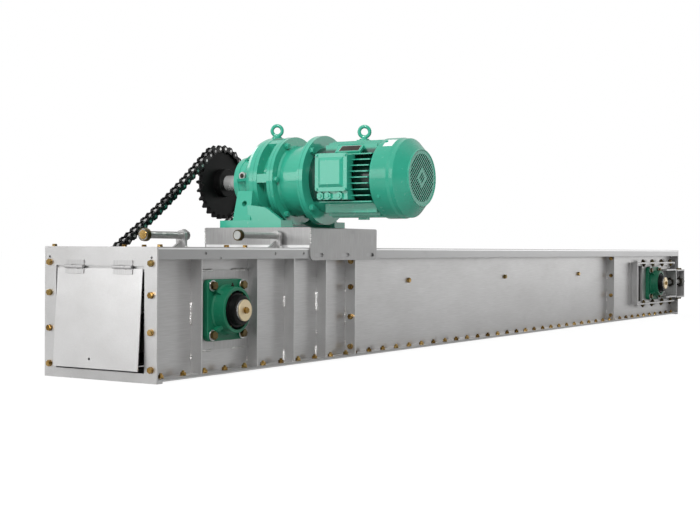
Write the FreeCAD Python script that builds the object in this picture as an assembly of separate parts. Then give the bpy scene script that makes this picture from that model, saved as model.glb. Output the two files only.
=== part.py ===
import FreeCAD, Part
import os
import math

# Drag chain conveyor: a bolted sheet-steel trough with a chain of flights inside, a gear motor on a
# saddle over the head end, a roller chain down to the head shaft, and a screw take-up at the tail.
# Millimetres. X runs from the head (discharge) end to the tail, Z is up, and Y = 0 is the middle of
# the trough. The operator's side faces -Y, the roller chain is on the +Y side.
# The origin is the middle of the outlet, on the underside of the bottom plate, below the head shaft.

# Trough
HEAD_END_X = -352.0          # outer face of the head end plate
JOINT_1_X = 728.0            # bolted joint between head and intermediate section
JOINT_2_X = 3378.0           # bolted joint between intermediate and tail section
TAIL_END_X = 4488.0          # outer face of the tail end plate
HALF_WIDTH = 217.5           # to the outer edge of the flanges
WALL_Y = 172.5               # outer face of a side wall
SHEET = 4.0                  # wall and bottom sheet
COVER_SHEET = 3.0
TOP_Z = 383.0                # top of the cover plates
LIP_DEPTH = 33.0             # turned-down lip of the top flange
LIP_HOLE_X = (-131.0, 227.0, 390.0)
END_DROP = 5.0               # how far the end plates reach below the bottom plate
END_RETURN = 26.0            # width of the strip that an end plate turns under the bottom plate
END_PLATE_T = 6.0
JOINT_PLATE_T = 5.0
RIB_DEPTH = 39.5
RIB_T = 6.0
RIB_X = (-142.0, 139.0, 344.0, 538.0)

# Outlet below the head shaft, and inlet in the tail cover
OUTLET_HALF = 150.0
OUTLET_BOLT_X, OUTLET_BOLT_Y = 176.0, 125.0
INLET_X = (3560.0, 3860.0)
INLET_HALF = 140.0
INLET_BOLT_X, INLET_BOLT_Y = 176.0, 120.0

# Inspection flap and its hinges
FLAP_HALF, FLAP_BOTTOM, FLAP_TOP = 164.3, 29.0, 320.0
FLAP_T = 3.0
OPEN_HALF, OPEN_BOTTOM, OPEN_TOP = 171.0, 23.0, 327.0
AJAR = 4.0                   # degrees
HINGE_Y = (-92.0, 94.5)
HINGE_HALF = 36.0
HINGE_R = 5.0

# Shafts and bearings
SHAFT_Z = 192.0
SHAFT_R = 32.5
TAIL_SHAFT_X = 4062.5
BEARING_SIDE = 187.0         # square flange
BEARING_BOLTS = 149.5        # bolt spacing
BEARING_OUT = 60.0           # mounting face to rim

# Drag chain of forged fork links, all alike, one flight on each
LINK_PITCH = 125.0
SPROCKET_TEETH = 6
LINKS_PER_RUN = 32
LINK_HALF_H = 12.0
EYE_HALF, LINK_HALF_W = 14.0, 24.0
FLIGHT_HALF = 155.0
FLIGHT_OUT, FLIGHT_IN = 54.0, 25.0

# Take-up
TRAVEL = 80.0
SCREW_Y, SCREW_R = 212.0, 14.0
STUD_X = (3890.0, 4050.0, 4220.0, 4385.0)

# Drive
DRIVE_X, DRIVE_Z = 632.0, 619.0
SADDLE_X = (423.0, 857.0)
SADDLE_Z = 451.0
SADDLE_T = 5.0
RING_R = 155.5               # bolted rings of the reducer
FIN_R, FRAME_R = 133.0, 109.0  # motor frame, over its fins and between them
FAN_R = 136.5
CHAIN_Y = 316.0              # middle of the roller chain
ROLLER_PITCH = 31.75
ROLLER_TEETH = 25
ROLLER_R = 9.5
FIRST_PIN = (130.0, 114.7)   # degrees, where the upper strand meets the drive and driven sprocket
WRAP_PINS = (12, 13)         # pins on the drive and driven sprocket
UPPER_LINKS, LOWER_LINKS = 23, 28

V = FreeCAD.Vector
Y_AXIS = V(0, 1, 0)


def box(x0, x1, y0, y1, z0, z1):
    return Part.makeBox(x1 - x0, y1 - y0, z1 - z0, V(x0, y0, z0))


def cyl_x(r, x0, x1, y, z):
    return Part.makeCylinder(r, x1 - x0, V(x0, y, z), V(1, 0, 0))


def cyl_y(r, y0, y1, x, z):
    return Part.makeCylinder(r, y1 - y0, V(x, y0, z), Y_AXIS)


def cyl_z(r, z0, z1, x, y):
    return Part.makeCylinder(r, z1 - z0, V(x, y, z0), V(0, 0, 1))


def prism(points, direction):
    """Extrude a closed outline of 3-D points along a vector."""
    pts = [V(*p) for p in points]
    return Part.Face(Part.makePolygon(pts + [pts[0]])).extrude(V(*direction))


def turned(profile, x, z):
    """Revolve (radius, y) points about the line parallel to Y through (x, z)."""
    pts = [V(x + r, y, z) for r, y in profile]
    face = Part.Face(Part.makePolygon(pts + [pts[0]]))
    return face.revolve(V(x, 0, z), Y_AXIS, 360)


def hexagon_x(flats, x0, x1, y, z):
    """Nut or bolt head with its axis along X."""
    r = flats / math.sqrt(3)
    pts = [(x0, y + r * math.sin(k * math.pi / 3), z + r * math.cos(k * math.pi / 3)) for k in range(6)]
    return prism(pts, (x1 - x0, 0, 0))


def slot_y(x0, x1, r, z, y0, y1):
    """Round-ended slot through a plate that faces Y."""
    return fuse([box(x0 + r, x1 - r, y0, y1, z - r, z + r), cyl_y(r, y0, y1, x0 + r, z),
                 cyl_y(r, y0, y1, x1 - r, z)])


def mirror_y(shape):
    return shape.mirror(V(0, 0, 0), Y_AXIS)


def fuse(shapes):
    base = shapes[0].fuse(shapes[1:]) if len(shapes) > 1 else shapes[0]
    return base.removeSplitter()


def cut_all(shape, cuts):
    return shape.cut(cuts) if cuts else shape


def both_sides(shape):
    return Part.makeCompound([shape, mirror_y(shape)])


os.makedirs("parts", exist_ok=True)


def save(name, shape):
    shape.exportStep("parts/%s.step" % name)


# Side walls: one folded sheet with an out-turned foot, an out-turned top flange and its lip

FLANGE_TOP = TOP_Z - COVER_SHEET


def wall_sheet(x0, x1):
    """Near wall (-Y) of one section."""
    w, h, t = WALL_Y, HALF_WIDTH, SHEET
    outline = [(x0, -w + t, t), (x0, -h, t), (x0, -h, 2 * t), (x0, -w, 2 * t),
               (x0, -w, FLANGE_TOP - t), (x0, -h + t, FLANGE_TOP - t),
               (x0, -h + t, FLANGE_TOP - LIP_DEPTH), (x0, -h, FLANGE_TOP - LIP_DEPTH),
               (x0, -h, FLANGE_TOP), (x0, -w + t, FLANGE_TOP)]
    return prism(outline, (x1 - x0, 0, 0))


def standing_plate(x0, x1, depth):
    """Plate welded upright on the near wall, from the foot to the top flange."""
    return box(x0, x1, -WALL_Y - depth, -WALL_Y, 2 * SHEET, FLANGE_TOP - SHEET)


head_x = (HEAD_END_X + END_PLATE_T, JOINT_1_X)
mid_x = (JOINT_1_X, JOINT_2_X)
tail_x = (JOINT_2_X, TAIL_END_X - END_PLATE_T)

ribs = [standing_plate(x - RIB_T / 2, x + RIB_T / 2, RIB_DEPTH) for x in RIB_X]
shaft_hole = cyl_y(40.0, -WALL_Y - 1, -WALL_Y + SHEET + 1, 0, SHAFT_Z)
lip_holes = [cyl_y(4.5, -HALF_WIDTH - 1, -HALF_WIDTH + SHEET + 1, x, 364.0) for x in LIP_HOLE_X]
notch = box(-64, -54, -HALF_WIDTH - 1, -HALF_WIDTH + SHEET + 1, 340, 352)
head_wall = cut_all(
    fuse([wall_sheet(*head_x)] + ribs + [standing_plate(JOINT_1_X - JOINT_PLATE_T, JOINT_1_X, 41.0)]),
    [shaft_hole, notch] + lip_holes)
mid_wall = fuse([wall_sheet(*mid_x), standing_plate(JOINT_1_X, JOINT_1_X + JOINT_PLATE_T, 41.0),
                 standing_plate(JOINT_2_X - JOINT_PLATE_T, JOINT_2_X, 41.0)])

# The tail shaft moves along a slot in the tail walls
shaft_slot = box(TAIL_SHAFT_X - TRAVEL - 42, TAIL_SHAFT_X + 42, -WALL_Y - 1, -WALL_Y + SHEET + 1,
                 SHAFT_Z - 42, SHAFT_Z + 42)
tail_wall = cut_all(
    fuse([wall_sheet(*tail_x), standing_plate(JOINT_2_X, JOINT_2_X + JOINT_PLATE_T, 41.0)]), [shaft_slot])

save("head_walls", both_sides(head_wall))
save("mid_walls", both_sides(mid_wall))
save("tail_walls", both_sides(tail_wall))


def bolt_holes(mid, dx, dy, z0, z1):
    return [cyl_z(6.5, z0, z1, mid + sx * dx, sy * dy) for sx in (-1, 1) for sy in (-1, 1)]


# Bottom plates, with the outlet and its bolt holes in the head one
head_bottom = cut_all(
    box(head_x[0], head_x[1], -HALF_WIDTH, HALF_WIDTH, 0, SHEET),
    [box(-OUTLET_HALF, OUTLET_HALF, -OUTLET_HALF, OUTLET_HALF, -1, SHEET + 1)]
    + bolt_holes(0, OUTLET_BOLT_X, OUTLET_BOLT_Y, -1, SHEET + 1))
save("head_bottom_plate", head_bottom)
save("mid_bottom_plate", box(mid_x[0], mid_x[1], -HALF_WIDTH, HALF_WIDTH, 0, SHEET))
save("tail_bottom_plate", box(tail_x[0], tail_x[1], -HALF_WIDTH, HALF_WIDTH, 0, SHEET))

# Cover plates, with the inlet in the tail one
save("head_cover", box(head_x[0], head_x[1], -HALF_WIDTH, HALF_WIDTH, FLANGE_TOP, TOP_Z))
save("mid_cover", box(mid_x[0], mid_x[1], -HALF_WIDTH, HALF_WIDTH, FLANGE_TOP, TOP_Z))
tail_cover = cut_all(
    box(tail_x[0], tail_x[1], -HALF_WIDTH, HALF_WIDTH, FLANGE_TOP, TOP_Z),
    [box(INLET_X[0], INLET_X[1], -INLET_HALF, INLET_HALF, FLANGE_TOP - 1, TOP_Z + 1)]
    + bolt_holes(sum(INLET_X) / 2, INLET_BOLT_X, INLET_BOLT_Y, FLANGE_TOP - 1, TOP_Z + 1))
save("tail_cover", tail_cover)


# End plates, each with a strip turned back under the bottom plate

def end_plate(outer, inward):
    """Blank end plate; inward is +1 at the head and -1 at the tail."""
    x0, x1 = sorted((outer, outer + inward * END_PLATE_T))
    r0, r1 = sorted((outer, outer + inward * END_RETURN))
    plate = fuse([box(x0, x1, -HALF_WIDTH, HALF_WIDTH, -END_DROP, TOP_Z),
                  box(r0, r1, -HALF_WIDTH, HALF_WIDTH, -END_DROP, 0)])
    return cut_all(plate, [cyl_x(4.0, x0 - 1, x1 + 1, s * 197.5, 352.0) for s in (-1, 1)])


head_end = end_plate(HEAD_END_X, 1).cut(
    box(HEAD_END_X - 1, HEAD_END_X + END_PLATE_T + 1, -OPEN_HALF, OPEN_HALF, OPEN_BOTTOM, OPEN_TOP))
save("head_end_plate", head_end)

# The take-up screws pass the edges of the tail end plate through notches
NOTCH_HALF = SCREW_R + 8.0
save("tail_end_plate", cut_all(end_plate(TAIL_END_X, -1), [
    box(TAIL_END_X - 10, TAIL_END_X + 1, s * (SCREW_Y + 30) - 52, s * (SCREW_Y + 30) + 52,
        SHAFT_Z - NOTCH_HALF, SHAFT_Z + NOTCH_HALF) for s in (-1, 1)]))

# Inspection flap, hanging ajar on two butt hinges. Each leaf keeps clear of the other's knuckles.
HINGE_X, HINGE_Z = HEAD_END_X - 5.0, 324.0
flap = box(HEAD_END_X, HEAD_END_X + FLAP_T, -FLAP_HALF, FLAP_HALF, FLAP_BOTTOM, FLAP_TOP)
flap = flap.cut(cyl_x(4.0, HEAD_END_X - 1, HEAD_END_X + FLAP_T + 1, 21.5, 56.0))
moving, fixed = [], []
for y in HINGE_Y:
    x0, x1 = HEAD_END_X - 3.0, HEAD_END_X
    leaf = fuse([box(x0, x1, y - HINGE_HALF, y + HINGE_HALF, HINGE_Z - 20, HINGE_Z - 7),
                 box(x0, x1, y - 11.0, y + 11.0, HINGE_Z - 8, HINGE_Z - 3),
                 cyl_y(HINGE_R, y - 11.0, y + 11.0, HINGE_X, HINGE_Z)])
    moving.append(leaf.cut(cyl_y(2.9, y - 12, y + 12, HINGE_X, HINGE_Z)))
    upper = [box(x0, x1, y - HINGE_HALF, y + HINGE_HALF, HINGE_Z + 7, HINGE_Z + 20),
             cyl_y(2.5, y - HINGE_HALF, y + HINGE_HALF, HINGE_X, HINGE_Z)]
    for a, b in ((-HINGE_HALF, -12.0), (12.0, HINGE_HALF)):
        upper.append(cyl_y(HINGE_R, y + a, y + b, HINGE_X, HINGE_Z))
        upper.append(box(x0, x1, y + a, y + b, HINGE_Z + 3, HINGE_Z + 8))
    fixed.append(fuse(upper))


def swing(shape):
    shape = shape.copy()
    shape.rotate(V(HINGE_X, 0, HINGE_Z), Y_AXIS, AJAR)
    return shape


save("inspection_flap", swing(flap))
save("hinge_moving_leaves", swing(Part.makeCompound(moving)))
save("hinge_fixed_leaves", Part.makeCompound(fixed))

# Thick plates welded on the head walls under the bearings
PLATE_T = 5.0
plate = box(RIB_X[0] + RIB_T / 2, RIB_X[1] - RIB_T / 2, -WALL_Y - PLATE_T, -WALL_Y, 71, 313).cut(
    cyl_y(40.0, -WALL_Y - PLATE_T - 1, -WALL_Y + 1, 0, SHAFT_Z))
save("bearing_plates", both_sides(plate))


def flange_bearing(x, y_face):
    """Square cast flange housing on the near side; y_face is its mounting face."""
    h, b = BEARING_SIDE / 2, BEARING_BOLTS / 2
    body = box(x - h, x + h, y_face - 18, y_face, SHAFT_Z - h, SHAFT_Z + h)
    body = body.makeFillet(18.0, [e for e in body.Edges if abs(e.tangentAt(e.FirstParameter).y) > 0.9])
    body = body.makeFillet(3.0, [e for e in body.Edges if abs(e.BoundBox.YMax - (y_face - 18)) < 0.01])
    pieces = [body, turned([(50, y_face - 10), (78, y_face - 10), (78, y_face - 20), (74, y_face - 24),
                            (70, y_face - BEARING_OUT + 2), (68, y_face - BEARING_OUT),
                            (50, y_face - BEARING_OUT)], x, SHAFT_Z)]
    for sx in (-1, 1):
        for sz in (-1, 1):
            pieces.append(cyl_y(17.0, y_face - 22, y_face - 10, x + sx * b, SHAFT_Z + sz * b))
            web = prism([(64, y_face - 15, -6), (98, y_face - 15, -6), (98, y_face - 21, -6),
                         (64, y_face - 48, -6)], (0, 0, 12))
            web.rotate(V(0, 0, 0), Y_AXIS, math.degrees(math.atan2(-sz, sx)))
            web.translate(V(x, 0, SHAFT_Z))
            pieces.append(web)
    return fuse(pieces).cut(cyl_y(60.0, y_face - BEARING_OUT - 1, y_face + 1, x, SHAFT_Z))


def bearing_insert(x, y_face):
    """Bearing with its spherical outer ring and long inner ring, on the near side."""
    f = y_face
    return turned([(SHAFT_R, f - 8), (60, f - 8), (60, f - 48), (54, f - 52), (52, f - 60),
                   (47, f - 60), (45, f - 78), (41, f - 80), (SHAFT_R, f - 80)], x, SHAFT_Z)


HEAD_FACE_Y = -WALL_Y - PLATE_T
save("head_bearings", both_sides(flange_bearing(0, HEAD_FACE_Y)))
save("head_bearing_inserts", both_sides(bearing_insert(0, HEAD_FACE_Y)))
save("head_shaft", cyl_y(SHAFT_R, -262.0, CHAIN_Y + 44.0, 0, SHAFT_Z))


def end_disc(x):
    return turned([(0.0, -262.0), (33.0, -262.0), (33.0, -266.0), (31.5, -267.5), (0.0, -267.5)], x, SHAFT_Z)


save("shaft_end_disc", end_disc(0))

# Head sprocket: a hexagonal drum that the links lie on, between two toothed plates whose teeth
# push the flights
PITCH_R = LINK_PITCH / 2 / math.sin(math.pi / SPROCKET_TEETH)
DRUM_FLAT = PITCH_R * math.cos(math.pi / SPROCKET_TEETH) - LINK_HALF_H
STEP = 2 * math.pi / SPROCKET_TEETH


def polar(points, x, y, z):
    return [(x + r * math.cos(a), y, z + r * math.sin(a)) for r, a in points]


drum_r = (DRUM_FLAT - 0.5) / math.cos(math.pi / SPROCKET_TEETH)
drum = prism(polar([(drum_r, math.pi / 2 + k * STEP) for k in range(6)], 0, -23, SHAFT_Z), (0, 46, 0))
rim = []
for k in range(6):
    a = math.pi / 2 + k * STEP
    rim += [(78.0, a - 0.36), (104.0, a - 0.32), (132.0, a - 0.13), (132.0, a + 0.13),
            (104.0, a + 0.32), (78.0, a + 0.36)]
teeth = [prism(polar(rim, 0, y, SHAFT_Z), (0, 10, 0)) for y in (-38.0, 28.0)]
sprocket = fuse([drum, cyl_y(58.0, -60, 60, 0, SHAFT_Z)] + teeth)
save("head_sprocket", sprocket.cut(cyl_y(SHAFT_R, -61, 61, 0, SHAFT_Z)))

# Tail wheel: plain, because it only turns the chain back
tail_wheel = turned([(SHAFT_R, -50), (52, -50), (52, -18), (88, -18), (90, -16), (90, 16), (88, 18),
                     (52, 18), (52, 50), (SHAFT_R, 50)], TAIL_SHAFT_X, SHAFT_Z)
save("tail_wheel", tail_wheel)


# Drag chain: the pin centres round the loop, then one link from each pin to the next

def loop_pins():
    pins = []
    for k in range(SPROCKET_TEETH // 2 + 1):
        a = math.pi / 2 + k * STEP
        pins.append((PITCH_R * math.cos(a), SHAFT_Z + PITCH_R * math.sin(a)))
    pins += [(k * LINK_PITCH, SHAFT_Z - PITCH_R) for k in range(1, LINKS_PER_RUN + 1)]
    # at the tail the chain goes round half a pitch out of step
    for k in range(SPROCKET_TEETH // 2):
        a = -math.pi / 2 + (k + 0.5) * STEP
        pins.append((TAIL_SHAFT_X + PITCH_R * math.cos(a), SHAFT_Z + PITCH_R * math.sin(a)))
    pins += [(k * LINK_PITCH, SHAFT_Z + PITCH_R) for k in range(LINKS_PER_RUN, 0, -1)]
    return pins


def drag_link(length):
    """Fork link along +X with its fork at the first pin and its eye at the next; -Z is outward."""
    e, w, h, n = EYE_HALF, LINK_HALF_W, LINK_HALF_H, length
    outline = [(-13, -w + 2), (30, -w), (n - 42, -w), (n - 27, -e), (n + 13, -e), (n + 13, e),
               (n - 27, e), (n - 42, w), (30, w), (-13, w - 2), (-13, e), (26, e), (26, -e), (-13, -e)]
    body = prism([(x, y, -h) for x, y in outline], (0, 0, 2 * h))
    f, x0 = FLIGHT_HALF, n / 2 - 4.0
    flight = prism([(x0, -f, -FLIGHT_OUT), (x0, f, -FLIGHT_OUT), (x0, f, FLIGHT_IN), (x0, w, FLIGHT_IN),
                    (x0, w, -h), (x0, -w, -h), (x0, -w, FLIGHT_IN), (x0, -f, FLIGHT_IN)], (8.0, 0, 0))
    return fuse([body, flight])


PINS = loop_pins()
links = []
for i, (x0, z0) in enumerate(PINS):
    x1, z1 = PINS[(i + 1) % len(PINS)]
    link = drag_link(math.hypot(x1 - x0, z1 - z0))
    link.rotate(V(0, 0, 0), Y_AXIS, -math.degrees(math.atan2(z1 - z0, x1 - x0)))
    link.translate(V(x0, 0, z0))
    links.append(link)
save("drag_chain", Part.makeCompound(links))

# Rails that carry the returning flights
rail = prism([(420.0, -168.5, 240.0), (420.0, -163.5, 240.0), (420.0, -163.5, 285.0),
              (420.0, -125.0, 285.0), (420.0, -125.0, 290.0), (420.0, -168.5, 290.0)],
             (3500.0 - 420.0, 0, 0))
save("return_rails", both_sides(rail))

# Take-up. Guide frames of angle bar on the walls, whose lips hold the slides that carry the bearings.
# A screw on each slide is pulled through the end bracket by its nut.
W = -WALL_Y
frame = fuse([
    box(3722, 3764, W - 6, W, 74, 312), box(3757, 3764, W - 38, W, 74, 312),
    box(3764, 4436, W - 38, W, 304, 312), box(3764, 4436, W - 38, W, 74, 82),
    box(3764, 4436, W - 25, W - 20, 293, 304), box(3764, 4436, W - 25, W - 20, 82, 93)])
save("takeup_frames", both_sides(frame))

SLIDE_FACE = W - 15.0
PULL_WEB = (4354.0, 4362.0)
plate = box(3906, PULL_WEB[1], SLIDE_FACE, W - 5, 87, 299).cut(
    cyl_y(38.0, SLIDE_FACE - 1, W, TAIL_SHAFT_X, SHAFT_Z))
arms = [box(4172, PULL_WEB[1], W - 74, SLIDE_FACE, z, z + 8) for z in (104.0, 262.0)]
web = box(PULL_WEB[0], PULL_WEB[1], W - 74, SLIDE_FACE, 104, 270)
slide = fuse([plate, web] + arms).cut(cyl_x(SCREW_R, 4300, 4400, -SCREW_Y, SHAFT_Z))
save("takeup_slides", both_sides(slide))

save("tail_bearings", both_sides(flange_bearing(TAIL_SHAFT_X, SLIDE_FACE)))
save("tail_bearing_inserts", both_sides(bearing_insert(TAIL_SHAFT_X, SLIDE_FACE)))
tail_shaft_end = 271.0
save("tail_shaft", cyl_y(SHAFT_R, -tail_shaft_end, tail_shaft_end, TAIL_SHAFT_X, SHAFT_Z))
tail_disc = end_disc(TAIL_SHAFT_X)
tail_disc.translate(V(0, -9.0, 0))
save("tail_end_discs", both_sides(tail_disc))

END_WEB = (4522.0, 4530.0)
save("takeup_screws", both_sides(cyl_x(SCREW_R, PULL_WEB[0] - 34, 4592.0, -SCREW_Y, SHAFT_Z)))
nut = hexagon_x(46.0, PULL_WEB[0] - 24, PULL_WEB[0], -SCREW_Y, SHAFT_Z)
save("takeup_nuts", both_sides(nut.cut(cyl_x(SCREW_R, 4300, 4400, -SCREW_Y, SHAFT_Z))))
arms = [box(4386, END_WEB[1], W - 70, W, z, z + 8) for z in (98.0, 258.0)]
bracket = fuse(arms + [box(END_WEB[0], END_WEB[1], W - 70, W, 98, 266)])
bracket = cut_all(bracket, [cyl_x(SCREW_R + 1.5, 4500, 4540, -SCREW_Y, SHAFT_Z),
                            box(TAIL_END_X - END_PLATE_T, TAIL_END_X, -HALF_WIDTH, 0, 90, 300)])
save("end_brackets", both_sides(bracket))
nut = hexagon_x(55.0, END_WEB[0] - 30, END_WEB[0], -SCREW_Y, SHAFT_Z)
save("end_nuts", both_sides(nut.cut(cyl_x(SCREW_R + 1.5, 4400, 4540, -SCREW_Y, SHAFT_Z))))

# Saddle over the trough, bent from one plate, with slotted aprons that hang over the flange lips
sx0, sx1 = SADDLE_X
APRON = HALF_WIDTH + SADDLE_T
apron = box(sx0, sx1, -APRON, -HALF_WIDTH, 341, SADDLE_Z)
apron = apron.makeFillet(18.0, [e for e in apron.Edges if abs(e.tangentAt(e.FirstParameter).y) > 0.9
                                and e.BoundBox.ZMax < 342])
apron = cut_all(apron, [slot_y(a, b, 6.0, 359.0, -APRON - 1, -HALF_WIDTH + 1)
                        for a, b in ((450, 502), (618, 670), (785, 837))])
saddle = fuse([apron, mirror_y(apron), box(sx0, sx1, -APRON, APRON, SADDLE_Z - SADDLE_T, SADDLE_Z),
               box(sx0, sx0 + SADDLE_T, -APRON, APRON, 392, SADDLE_Z),
               box(sx1 - SADDLE_T, sx1, -APRON, APRON, 392, SADDLE_Z)])
saddle = saddle.makeFillet(4.5, [e for e in saddle.Edges if e.Length > 400 and abs(e.BoundBox.ZMax - SADDLE_Z) < 0.01
                                 and abs(abs(e.BoundBox.YMax) - APRON) < 0.01
                                 and e.BoundBox.YMax - e.BoundBox.YMin < 0.01])
save("saddle", saddle)

# Jack bolts through lugs on the head cover. The far lug's bolt is longer in front than behind.
JACK_Z = 422.0
near = dict(y=-94.5, r=10.0, flats=30.0, head=188.0, lug=400.0, tip=423.0)
far = dict(y=157.5, r=12.0, flats=36.0, head=20.0, lug=209.0, tip=246.0)
lugs, jacks = [], []
for j in (near, far):
    y, x = j["y"], j["lug"]
    lug = fuse([box(x, x + 10, y - 20, y + 20, TOP_Z, JACK_Z - 2), cyl_x(20.0, x, x + 10, y, JACK_Z - 2),
                prism([(x - 40, y - 4, TOP_Z), (x, y - 4, TOP_Z), (x, y - 4, TOP_Z + 22)], (0, 8, 0))])
    lugs.append(lug.cut(cyl_x(j["r"], x - 60, x + 11, y, JACK_Z)))
    jacks.append(fuse([hexagon_x(j["flats"], j["head"], j["head"] + 1.25 * j["r"], y, JACK_Z),
                       cyl_x(j["r"], j["head"], j["tip"], y, JACK_Z),
                       hexagon_x(j["flats"], x + 10, min(x + 26, j["tip"] - 1), y, JACK_Z)]))
save("jack_lugs", Part.makeCompound(lugs))
save("jack_bolts", Part.makeCompound(jacks))

# Reducer, its axis across the trough. Three split rings, six ribs between the first two, six struts
# on the output bell, and two cast legs.
AX, AZ = DRIVE_X, DRIVE_Z
RIB_ANGLES = [178.5 - 60.0 * k for k in range(6)]


def ring(y0, split, y1):
    """Profile of a bolted ring with the fine joint between its two halves."""
    return [(RING_R, y0), (RING_R, split + 0.5), (RING_R - 4, split), (RING_R, split - 0.5), (RING_R, y1)]


core = turned([(0, 200), (62, 200), (66, 196), (76, 196), (78, 190), (88, 190), (90, 188), (90, 168),
               (87.5, 166), (87.5, 145), (117, 118), (127, 108), (150, 88)] + ring(74, 56, 40)
              + [(118, 38), (118, 1)] + ring(-1, -13.5, -26.5) + [(126, -26.5), (123, -34), (123, -118),
              (128, -126)] + ring(-126, -135, -150) + [(0, -150)], AX, AZ)
bridges = []
for angle in RIB_ANGLES:
    rib_k = box(110, 154, -2, 41, -15, 15)
    strut = prism([(80, 105, -5), (127, 108, -5), (91, 172, -5), (80, 172, -5)], (0, 0, 10))
    strut = strut.cut(prism([(88, 160, -6), (88, 141.6, -6), (117.5, 118.6, -6)], (0, 0, 12)))
    for shape in (rib_k, strut):
        shape.rotate(V(0, 0, 0), Y_AXIS, -angle)
        shape.translate(V(AX, 0, AZ))
        bridges.append(shape)


def wire(points):
    pts = [V(*p) for p in points]
    return Part.makePolygon(pts + [pts[0]])


def leg_side():
    """Foot, leg and side web on the head side of the reducer."""
    foot = box(427, 510, -98.5, 160, SADDLE_Z, 476)
    foot = foot.makeFillet(14.0, [e for e in foot.Edges if abs(e.tangentAt(e.FirstParameter).z) > 0.9
                                  and e.BoundBox.XMax > 500])
    leg = Part.makeLoft([wire([(446, 45, 470), (500, 45, 470), (500, 120, 470), (446, 120, 470)]),
                         wire([(472, 54, 580), (560, 54, 580), (560, 116, 580), (472, 116, 580)])], True, True)
    web = prism([(452, 60, 470), (452, 60, 528), (452, 38.5, 528), (452, -14, 521), (452, -80, 479.5),
                 (452, -80, 470)], (16, 0, 0))
    return fuse([foot, leg, web]).cut(cyl_x(10.0, 440, 482, 80.0, 535.0))


leg = leg_side()
other = leg.mirror(V(AX, 0, 0), V(1, 0, 0))
EYE_BASE = (AZ + 157.0, 754.0)
pad = cyl_z(20.0, AZ + 125, EYE_BASE[0], AX, 62.0)
save("reducer", fuse([core, leg, other, pad] + bridges))

# Motor: finned frame, end shield on the drive side, lug below, sloping pad for the nameplate
M0, M1 = -409.0, -150.0
body = [turned([(0, M1), (114, M1), (114, M1 - 14), (112, M1 - 24), (110, M1 - 34), (FRAME_R, M1 - 36),
                (FRAME_R, M0 + 16), (127, M0 + 11), (131, M0 + 7), (131, M0), (134, M0), (134, M0 - 9),
                (0, M0 - 9)], AX, AZ)]
for k in range(-4, 5):
    off = 20.0 * k
    reach = math.sqrt(FIN_R ** 2 - off ** 2)
    body.append(box(AX - reach, AX + reach, M0 + 14, M1 - 40, AZ + off - 2, AZ + off + 2))
for k in (-3, -2, -1, 1, 2, 3):
    off = 22.0 * k
    reach = math.sqrt(FIN_R ** 2 - off ** 2)
    body.append(box(AX + off - 2, AX + off + 2, M0 + 14, M1 - 40, AZ - reach, AZ + reach))
body += [box(AX - 20, AX + 20, -323, -284, AZ + 90, EYE_BASE[1]), box(AX - 11, AX + 11, -320, -288, 480, AZ - 95),
         box(AX - 124, AX - 60, -326, -209, 545, 695)]
room = [box(AX - 140, AX - 124, -326.5, -208.5, 544, 696)]
for shapes, piece in ((body, box(-19, 19, -343, -244, 96, 130)), (room, box(-22, 22, -346, -241, 130, 140))):
    piece.rotate(V(0, 0, 0), Y_AXIS, -39.0)
    piece.translate(V(AX, 0, AZ))
    shapes.append(piece)
save("motor", cut_all(fuse(body), room))

TB_Y, TB_Z = (-330.5, -204.5), (572.0, 700.0)
tb = box(474, 486, TB_Y[0], TB_Y[1], TB_Z[0], TB_Z[1])
tb = tb.makeFillet(10.0, [e for e in tb.Edges if abs(e.tangentAt(e.FirstParameter).x) > 0.9])
crown = Part.makeLoft([wire([(474, TB_Y[0] + 14, TB_Z[0] + 14), (474, TB_Y[1] - 14, TB_Z[0] + 14),
                             (474, TB_Y[1] - 14, TB_Z[1] - 14), (474, TB_Y[0] + 14, TB_Z[1] - 14)]),
                       wire([(466, TB_Y[0] + 24, TB_Z[0] + 24), (466, TB_Y[1] - 24, TB_Z[0] + 24),
                             (466, TB_Y[1] - 24, TB_Z[1] - 24), (466, TB_Y[0] + 24, TB_Z[1] - 24)])], True, True)
box_body = box(486, AX - 124, TB_Y[0] + 4.5, TB_Y[1] - 4.5, 545, TB_Z[1] - 5)
plugs = []
for y in (-222.0, -252.0, -297.0):
    plugs += [hexagon_x(24.0, 478, 486, y, 557.5), cyl_x(6.0, 474, 478, y, 557.5)]
save("terminal_box", fuse([tb, crown, box_body] + plugs))

# Fan cover: a thin drawn shell with a slotted grille
F0 = -531.0
cover = turned([(FAN_R, M0), (FAN_R, -466), (133.5, -476), (133.5, -490), (97, -526), (95.5, F0), (93.5, F0),
                (91.5, -529), (0, -529), (0, -526), (90, -526), (95.5, -523), (131, -489), (131, -475),
                (134, -465), (134, M0)], AX, AZ)
bars = []
for k in range(-8, 9):
    bars.append(box(-90, 90, -535, -515, 9.4 * k - 2.6, 9.4 * k + 2.6))
grille = Part.makeCompound(bars).common(cyl_y(81.0, -535, -515, 0, 0))
grille = grille.cut(box(-26, 26, -536, -514, -26, 26))
grille = Part.makeCompound([grille] + [box(-14, 14, -535, -515, 9.4 * k - 2.6, 9.4 * k + 2.6) for k in (-1, 0, 1)])
grille.rotate(V(0, 0, 0), Y_AXIS, -45.0)
grille.translate(V(AX, 0, AZ))
save("fan_cover", cover.cut(grille))


def eye_bolt(y, base, centre):
    """Lifting eye: collar, neck and ring, the ring turned a little out of the Y-Z plane."""
    eye = fuse([cyl_z(17.0, base, base + 4, 0, 0),
                Part.makeCone(13.0, 8.0, centre - 17 - base, V(0, 0, base), V(0, 0, 1)),
                Part.makeTorus(18.0, 6.25, V(0, 0, centre), V(1, 0, 0))])
    eye.rotate(V(0, 0, 0), V(0, 0, 1), 28.0)
    eye.translate(V(AX, y, 0))
    return eye


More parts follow.
